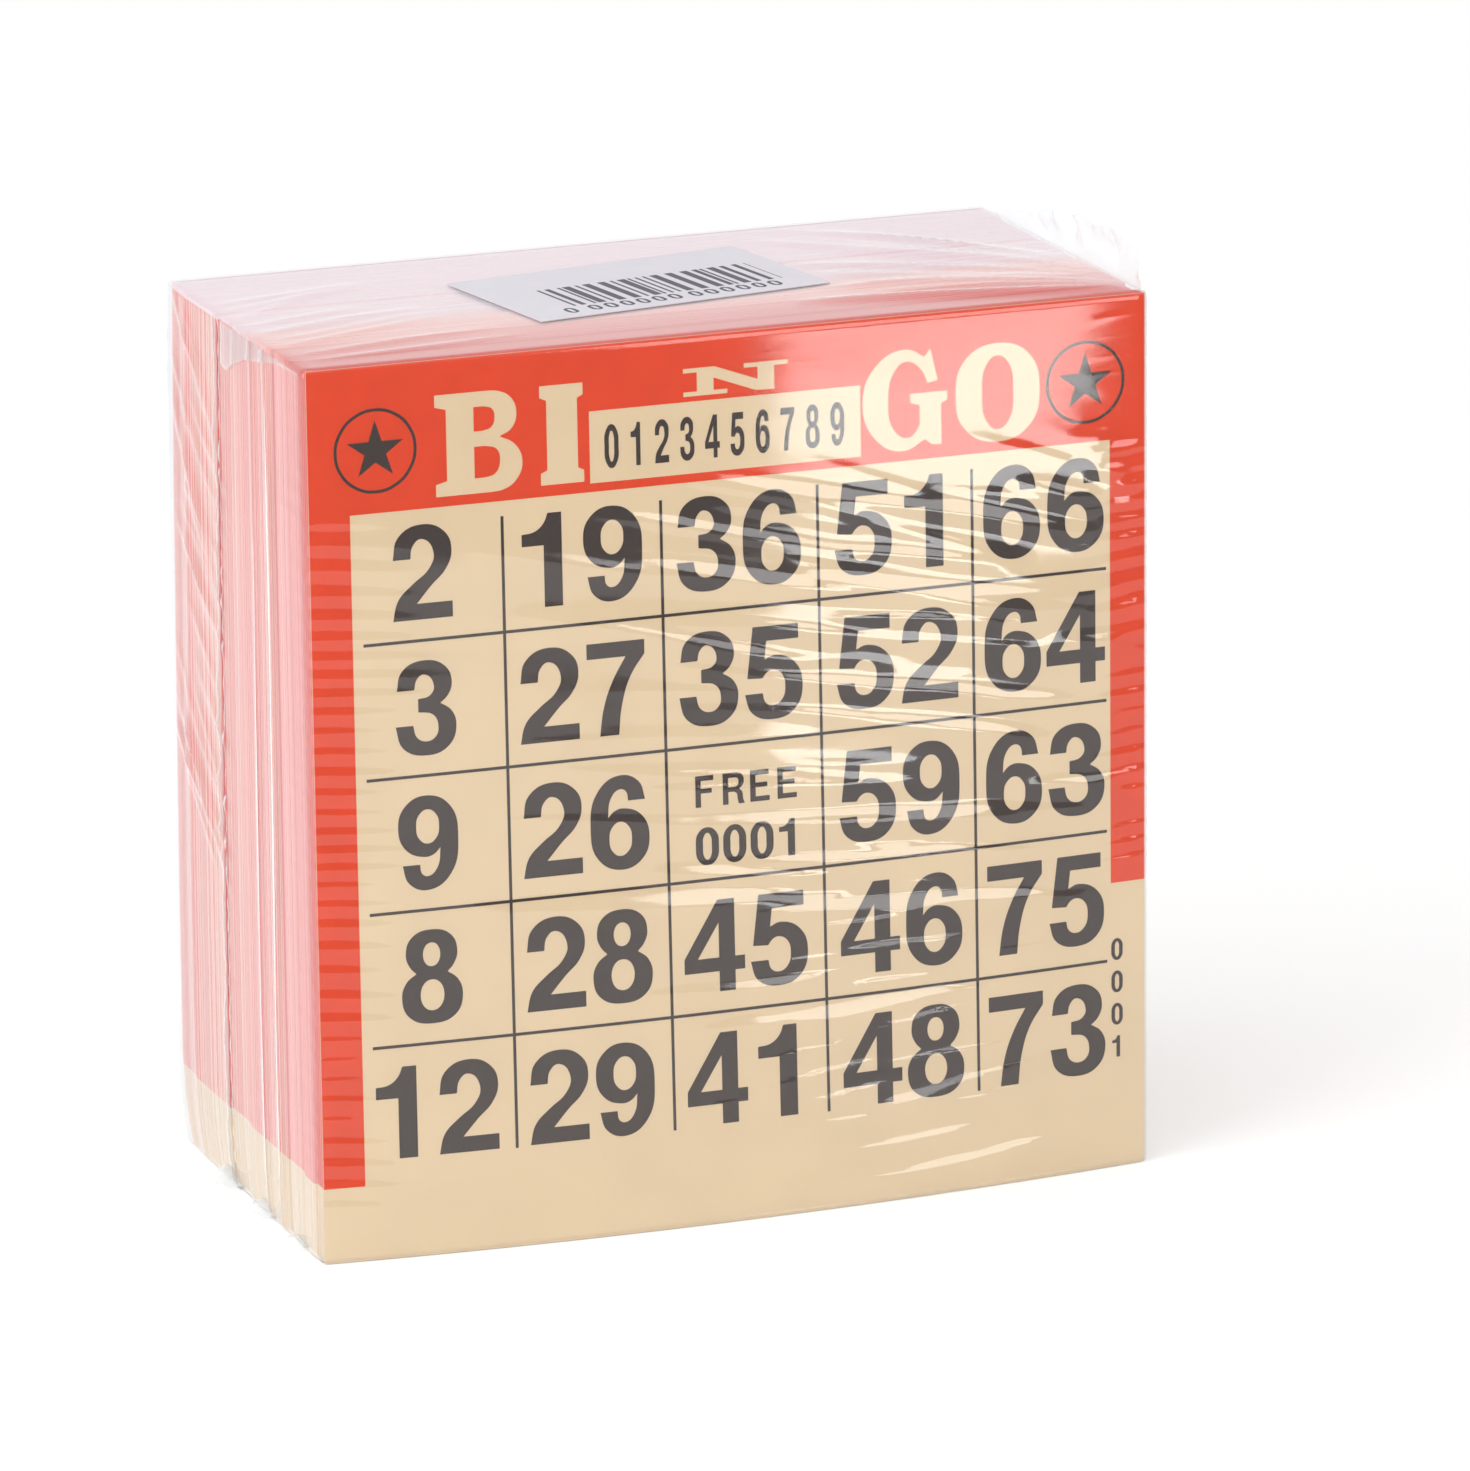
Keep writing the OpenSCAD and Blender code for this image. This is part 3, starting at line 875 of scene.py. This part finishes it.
def top_folds(x, deep):
    """Height in mm of the folds of the top film, at points in mm from the left and the front."""
    between = random.Random(14).uniform
    lines = []
    # On the right they run together at the front corner, and on the left they leave the side as chevrons
    right, rear = 101.0, 48.0
    for k in range(12):
        angle = 14.0 + 3.4 * k + between(-3.0, 3.0)
        run = between(24.0, 46.0)
        x0, deep0, *rest = fold_to((right, 2.0 + 1.5 * k), angle, run, between(0.8, 1.6),
                                   between(0.35, 0.85))
        lines.append((x0, min(deep0, rear), *rest))
    for k in range(9):
        start = 3.0 + 3.9 * k
        run = between(14.0, 32.0)
        end = run, start + between(4.0, 12.0)
        lines.append((0.0, start, *end, between(0.7, 1.0), between(0.2, 0.4)))
    # It lies flat under the label
    turn = math.radians(LABEL_TURN)
    dx = x * MM + CARD_LOW.x - LABEL_MIDDLE.x
    dy = deep * MM + STACK_FRONT - LABEL_MIDDLE.y
    along = np.abs(dx * math.cos(turn) + dy * math.sin(turn)) - LABEL_W / 2
    aside = np.abs(dy * math.cos(turn) - dx * math.sin(turn)) - LABEL_D / 2
    clear = smooth_step(np.maximum(along, aside), 0.5 * MM, 4.0 * MM)
    return clear * line_folds(x, deep, lines)


def film_shell():
    """The whole film as one rounded, folded box: its mesh, and the middle of each face before folding."""
    sizes = bpy.context.scene.film_sizes
    bm = box_mesh((-FILM_SIDE, FILM_FRONT, 0.0), (FILM_SIDE, FILM_BACK, FILM_TOP))
    bmesh.ops.bevel(
        bm, geom=bm.edges[:], offset=sizes.edge_round, affect="EDGES", segments=2, profile=0.5, material=-1)
    cut_along(bm, FILM_CUTS)
    mesh = mesh_from(bm, "film_shell")
    middles = values_of(mesh.polygons, "center")
    points = points_of(mesh)
    normals = values_of(mesh.vertex_normals, "vector")
    x, deep, z = (points - (CARD_LOW.x, STACK_FRONT, BED)).T / MM
    facing = np.clip(normals, 0, 1) ** 4
    away = np.clip(-normals, 0, 1) ** 4
    height = away[:, 1] * front_folds(x, z)
    height += facing[:, 1] * 0.7 * front_folds(CARD_W / MM - x, z, 8, 90)
    height += away[:, 0] * side_folds(deep, z, LEFT_TURN)
    height += facing[:, 0] * side_folds(deep, z, RIGHT_TURN)
    height += facing[:, 2] * top_folds(x, deep)
    set_points(mesh, swell(points) + normals * height[:, None] * MM)
    return mesh, middles


def film_piece(name, shell, kept, body, nodes):
    """Cuts one piece of film from the shell, keeping the marked faces, and gives it its thickness."""
    bm = bmesh.new()
    bm.from_mesh(shell)
    doomed = [face for face, keep in zip(bm.faces, kept) if not keep]
    bmesh.ops.delete(bm, geom=doomed, context="FACES")
    mesh = mesh_from(bm, name)
    return finish_piece(name, mesh, "clear_shrink_film", body, "shrink_film", nodes, FILM_T, -1.0)


class BINGO_OT_film(bpy.types.Operator):
    """Build the shrink film: the front half, the rear half and the fold between them"""

    bl_idname = "bingo.film"
    bl_label = "Shrink Film"

    def execute(self, context):
        sizes = context.scene.film_sizes
        strip, edge = sizes.fold_strip, sizes.edge_round
        shell, middles = film_shell()
        x, y, z = middles.T
        fold = (y > FILM_BACK - strip) & (z > FILM_TOP - strip) & (np.abs(x) < FILM_SIDE - 0.5 * MM)
        hood = ((z > FILM_TOP - 0.9 * edge) | ((y < WELD_Y) & (z > 1.01 * edge))) & ~fold
        film_piece("film_hood_skin", shell, hood, HOOD, [
            "film_front_panel", "film_top_panel", "film_left_front_panel", "film_right_front_panel"])
        film_piece("film_base_skin", shell, ~hood & ~fold, STACK, [
            "film_back_panel", "film_bottom_front_panel", "film_bottom_rear_panel", "film_left_rear_panel",
            "film_right_rear_panel"])
        bend = film_piece("film_fold_strip", shell, fold, None, [])
        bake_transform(bend)
        bpy.data.meshes.remove(shell)
        return {"FINISHED"}


class BINGO_OT_welds(bpy.types.Operator):
    """Build the weld beads and the gathered corners of film"""

    bl_idname = "bingo.welds"
    bl_label = "Welds and Corners"

    def execute(self, context):
        sizes = context.scene.film_sizes
        for side, sign, turn in (("left", -1.0, LEFT_TURN), ("right", 1.0, RIGHT_TURN)):
            self.side_bead(sizes, side, sign, turn)
            self.bottom_ear(side, sign)
        self.bottom_bead()
        self.pleats()
        self.top_right_ear(sizes)
        self.top_left_ear()
        return {"FINISHED"}

    def side_bead(self, sizes, side, sign, turn):
        """A puckered bead up one side, just behind the slit."""
        def place(along, across):
            z = WELD_LOW.z + along * (WELD_HIGH.z - WELD_LOW.z - 0.4 * MM)
            wander = 0.35 * MM * np.sin(z / (2.3 * MM) + turn) + 0.3 * MM * np.sin(z / (7.1 * MM))
            y = WELD_Y + 0.5 * MM + across * sizes.bead_w + wander
            fold = side_folds((y - STACK_FRONT) / MM, (z - BED) / MM, turn) * MM
            gather = np.abs(np.sin(z / (1.1 * MM) + 2 * np.sin(z / (4.0 * MM))))
            pucker = 0.06 * MM * gather * np.sin(across * np.pi)
            x, y, z = swollen(sign * FILM_SIDE, y, z)
            return x + sign * (fold + pucker + 0.05 * MM), y, z

        sheet_piece(f"film_bead_{side}", (240, 4), [place], 0.06 * MM,
                    "folded_shrink_film", STACK, "welded_film", [f"film_seal_{side}"])

    def bottom_bead(self):
        """The flat bead under the pack."""
        low, high = (Vector(c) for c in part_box("film_seal_bottom"))

        def place(along, across):
            x = low.x + along * (high.x - low.x)
            y = low.y + across * (high.y - low.y) + 0.2 * MM * np.sin(x / (2.7 * MM))
            return x, y, np.full_like(x, (low.z + high.z) / 2)

        sheet_piece("film_bead_bottom", (120, 3), [place], 0.08 * MM,
                    "gathered_shrink_film", STACK, "welded_film", ["film_seal_bottom"])

    def pleats(self):
        """Two upright pleats of the film on the left side, between lifts. Their milky white is partly a
        painted highlight.
        """
        def place(deep, low, high, wide, along, across):
            z = low + along * (high - low)
            taper = np.sin(np.clip(along, 0.0, 1.0) * np.pi) ** 0.4 * (0.75 + 0.25 * np.sin(z / 6.0 + deep))
            aside = deep + 0.3 * np.sin(z / 17.0 + deep) + (across - 0.5) * wide * taper
            x = -FILM_SIDE - (side_folds(aside, z, LEFT_TURN) + 0.05) * MM
            return swollen(x, STACK_FRONT + aside * MM, BED + z * MM)

        rows = ((13.0, 6.0, 99.0, 0.55), (18.5, 3.0, 82.0, 0.4))
        sheet_piece("film_pleats_left", (120, 3), [partial(place, *row) for row in rows], 0.04 * MM,
                    "pleated_shrink_film", HOOD, "shrink_film")

    def bottom_ear(self, side, sign):
        """Small crumpled tabs of film that stick out along the lower edge of a side."""
        def place(deep, run, reach, drop, along, across):
            lobe = np.sin(along * np.pi) ** 0.6
            crumple = 0.35 * across * np.sin(along * 11.0 + deep) ** 2
            x = sign * (FILM_SIDE + 0.02 * MM + across * lobe * reach * MM)
            y = STACK_FRONT + (deep + (along - 0.5) * run) * MM
            z = 0.25 * MM + (drop * (1 - across) * lobe + crumple) * MM
            return x, swollen(sign * FILM_SIDE, y, z)[1], z

        rows = ((8.0, 5.0, 1.7, 0.9), (20.5, 6.5, 1.5, 1.5), (33.0, 7.5, 2.0, 1.7))
        sheet_piece(f"film_tabs_bottom_{side}", (14, 5), [partial(place, *row) for row in rows], 0.06 * MM,
                    "gathered_shrink_film", STACK, "welded_film", [f"film_ear_bottom_{side}"])

    def top_right_ear(self, sizes):
        """Spare film that stands crumpled along the top right edge."""
        front = STACK_FRONT + 1.0 * MM
        run = 45.0 * MM
        # Rise of the edge, as shares of its length and of its height
        shares = (0.0, 0.04, 0.12, 0.3, 0.52, 0.72, 0.88, 1.0)
        rises = (0.0, 0.66, 0.9, 1.0, 0.92, 0.55, 0.22, 0.0)
        between = random.Random(4).uniform
        creases = []
        for _ in range(44):
            deep, up = between(0.0, 40.0), between(0.0, 5.0)
            angle, reach = between(0.0, math.pi), between(3.0, 9.0)
            end = (deep + reach * math.cos(angle), up + reach * math.sin(angle))
            creases.append((deep, up, *end, between(0.4, 0.9), between(-0.7, 0.7)))

        def place(along, across):
            deep = along * run / MM
            rise = sizes.ear_rise * np.interp(along, shares, rises) * (1 + 0.04 * np.sin(deep * 0.7))
            up = across * rise / MM
            x = FILM_SIDE - 0.35 * MM + (0.16 * up + across * line_folds(deep, up, creases)) * MM
            z = FILM_TOP - 0.3 * MM + across * (rise + 0.3 * MM)
            return x, front + along * run, z

        sheet_piece("film_ear_standing", (120, 18), [place], 0.08 * MM,
                    "gathered_shrink_film", HOOD, "welded_film", ["film_ear_top_right"])

    def top_left_ear(self):
        """Spare film folded down flat against the left side, under the top left edge."""
        low, high = (Vector(c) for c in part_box("film_ear_top_left"))
        inset, under = 0.8 * MM, 0.6 * MM
        # Drop of the edge, as shares of its length and of its depth
        shares = (0.0, 0.3, 0.5, 0.68, 0.82, 0.92, 1.0)
        drops = (0.02, 0.1, 0.3, 0.46, 0.72, 0.97, 0.9)
        creases = ((2.0, 104.0, 29.0, 101.0, 0.7, 0.12), (8.0, 104.0, 29.0, 99.0, 0.6, 0.15))

        def place(along, across):
            y = low.y + inset + along * (high.y - low.y - inset)
            drop = (high.z - low.z - under) * np.interp(along, shares, drops)
            z = high.z - under - across * drop
            deep, up = (y - STACK_FRONT) / MM, (z - BED) / MM
            crumple = 0.1 * across + line_folds(deep, up, creases)
            x = -FILM_SIDE - (side_folds(deep, up, LEFT_TURN) + 0.1 + crumple) * MM
            return x, y, z

        sheet_piece("film_ear_folded", (60, 24), [place], 0.06 * MM,
                    "folded_shrink_film", HOOD, "welded_film", ["film_ear_top_left"])


class BINGO_OT_label(bpy.types.Operator):
    """Build the label on the top film with its bars"""

    bl_idname = "bingo.label"
    bl_label = "Label"

    def execute(self, context):
        lift, ink_t = 0.02 * MM, 0.012 * MM
        corner = Vector((LABEL_W / 2, LABEL_D / 2, 0.0))
        sheet = box_mesh(-corner, corner + Vector((0, 0, LABEL_HIGH.z - LABEL_LOW.z)), (24, 14, 0))
        self.lay("label_sheet", sheet, LABEL_LOW.z + lift, "coated_label_paper", ["barcode_label"])

        draw = random.Random(3)
        bars = outline_curve("label_bars")
        x, end, foot, head = -12.0, 15.5, -6.5, 2.6
        while x < end:
            bar = draw.choice((0.33, 0.33, 0.66, 0.99))
            add_bar(bars, x, foot, min(x + bar, end), head)
            x += bar + draw.choice((0.33, 0.66, 0.66, 0.99))
        zero_x, zero_z, zero_step = -14.2, -9.6, 2.1
        for k in range(13):
            gap = (k > 0) * 1.0 + (k > 6) * 0.6
            add_glyph(bars, GLYPHS["0"], zero_x + k * zero_step + gap, zero_z, 0.022, 0.024)
        self.lay("label_bars", flat_mesh(bars, ink_t), LABEL_HIGH.z + lift + 0.01 * MM, "label_bar_ink")
        return {"FINISHED"}

    def lay(self, name, bm, z, material, nodes=()):
        """Lays a flat piece on the top film at a height, at the label's place and turn."""
        turned = Matrix.Rotation(math.radians(LABEL_TURN), 4, "Z")
        place = Matrix.Translation((LABEL_MIDDLE.x, LABEL_MIDDLE.y, z)) @ turned
        bmesh.ops.transform(bm, matrix=place, verts=bm.verts)
        finish_piece(name, mesh_from(bm, name), material, HOOD, "label_paper", nodes)


class BINGO_OT_stage(bpy.types.Operator):
    """Build the floor, the lights and the camera"""

    bl_idname = "bingo.stage"
    bl_label = "Stage"

    def execute(self, context):
        scene = context.scene
        scene.view_settings.view_transform = "Standard"
        bm = bmesh.new()
        bmesh.ops.create_circle(bm, cap_ends=True, segments=96, radius=FLOOR_RADIUS)
        floor = bpy.data.objects.new("floor", mesh_from(bm, "floor"))
        scene.collection.objects.link(floor)
        floor.data.materials.append(floor_paint())
        scene.world = studio_world()
        softbox("front_softbox", (0.38, -0.78, 0.2), 0.25, 0.4, 4.2)
        softbox("left_softbox", (-0.75, -0.3, 0.35), 0.6, 0.6, 3.0)
        softbox("top_softbox", (-0.3, -0.2, 1.0), 0.8, 0.8, 1.0)
        # A panel lies on the table, in front to the right. The film mirrors it at the card's upper right
        upward = Euler((math.pi, 0.0, math.radians(21)))
        softbox("low_panel", (0.168, -0.385, 0.002), 0.052, 0.21, 6.8, upward)
        lens = bpy.data.cameras.new("photo_camera")
        lens.sensor_fit = "HORIZONTAL"
        lens.sensor_width = 36.0
        lens.lens = 244.9
        lens.clip_end = 50.0
        camera = bpy.data.objects.new("photo_camera", lens)
        camera.location = (-386.2 * MM, -1061.2 * MM, 359.8 * MM)
        camera.rotation_euler = Euler([math.radians(a) for a in (74.707, 0.609, -20.604)])
        scene.collection.objects.link(camera)
        scene.camera = camera
        return {"FINISHED"}


def studio_world():
    """Soft even light. Gloss sees a white sweep behind and above, and a dimmer room in front."""
    world = bpy.data.worlds.new("studio")
    world.use_nodes = True
    tree = world.node_tree
    tree.nodes.clear()
    times, either = partial(calc, tree, "MULTIPLY"), partial(calc, tree, "MAXIMUM")
    way = add_node(tree, "TexCoord").outputs["Generated"]
    axes = add_node(tree, "SeparateXYZ", {"Vector": way}).outputs
    slope, dim, bright, fill = 1.2, 0.25, 1.0, 0.82
    behind = calc(tree, "ADD", axes["Y"], times(axes["Z"], slope))
    room = ramp(tree, behind, -0.6, 0.2, dim, bright)
    path = add_node(tree, "LightPath").outputs
    mirrored = either(path["Is Glossy Ray"], path["Is Transmission Ray"])
    seen = either(path["Is Camera Ray"], times(mirrored, room))
    hidden = calc(tree, "SUBTRACT", 1.0, either(path["Is Camera Ray"], mirrored))
    strength = either(seen, times(hidden, fill))
    light = add_node(tree, "Background", {"Color": linear(WHITE), "Strength": strength})
    show(tree, light, "OutputWorld")
    return world


def floor_paint():
    """Matt white table: it keeps the shadow, and shows as white to the camera and in reflections."""
    material, tree, _ = new_material("white_table")
    path = add_node(tree, "LightPath").outputs
    seen = calc(tree, "MAXIMUM", path["Is Camera Ray"], path["Is Glossy Ray"])
    lift = 0.14
    glow = calc(tree, "MULTIPLY", seen, lift)
    matt = add_node(tree, "BsdfDiffuse", {"Color": linear(colours().floor)})
    lit = add_node(tree, "Emission", {"Color": linear(WHITE), "Strength": glow})
    show(tree, add_node(tree, "AddShader", {0: matt.outputs[0], 1: lit.outputs[0]}))
    return material


def softbox(name, place, wide, high, radiance, turn=None):
    """A rectangular lamp of a radiance, hidden from the camera. It faces the pack if no turn is given."""
    lamp = bpy.data.lights.new(name, "AREA")
    lamp.shape = "RECTANGLE"
    lamp.size = wide
    lamp.size_y = high
    lamp.energy = radiance * math.pi * wide * high
    holder = bpy.data.objects.new(name, lamp)
    holder.visible_camera = False
    holder.location = place
    to_pack = (PACK_MIDDLE - Vector(place)).to_track_quat("-Z", "Y").to_euler()
    holder.rotation_euler = to_pack if turn is None else turn
    bpy.context.scene.collection.objects.link(holder)


class BINGO_PT_panel(bpy.types.Panel):
    """Builds the pack piece by piece"""

    bl_idname = "BINGO_PT_panel"
    bl_label = "Wrapped Bingo Cards"
    bl_space_type = "VIEW_3D"
    bl_region_type = "UI"
    bl_category = "Bingo"

    def draw(self, context):
        for step in STEPS:
            self.layout.operator(step.bl_idname)
        for group in (context.scene.card_sizes, context.scene.film_sizes, context.scene.pack_colours):
            box = self.layout.box()
            for key in group.__annotations__:
                box.prop(group, key)


STEPS = (
    BINGO_OT_stage, BINGO_OT_front_card, BINGO_OT_lifts, BINGO_OT_film, BINGO_OT_welds, BINGO_OT_label)
GROUPS = {"card_sizes": CardSizes, "film_sizes": FilmSizes, "pack_colours": PackColours}


def register():
    for name, group in GROUPS.items():
        bpy.utils.register_class(group)
        setattr(bpy.types.Scene, name, bpy.props.PointerProperty(type=group))
    for kind in STEPS + (BINGO_PT_panel,):
        bpy.utils.register_class(kind)


def unregister():
    for kind in reversed(STEPS + (BINGO_PT_panel,)):
        bpy.utils.unregister_class(kind)
    for name, group in GROUPS.items():
        delattr(bpy.types.Scene, name)
        bpy.utils.unregister_class(group)


def main():
    register()
    bpy.ops.bingo.stage()
    bpy.ops.bingo.front_card()
    bpy.ops.bingo.lifts()
    bpy.ops.bingo.film()
    bpy.ops.bingo.welds()
    bpy.ops.bingo.label()


if __name__ == "__main__":
    main()
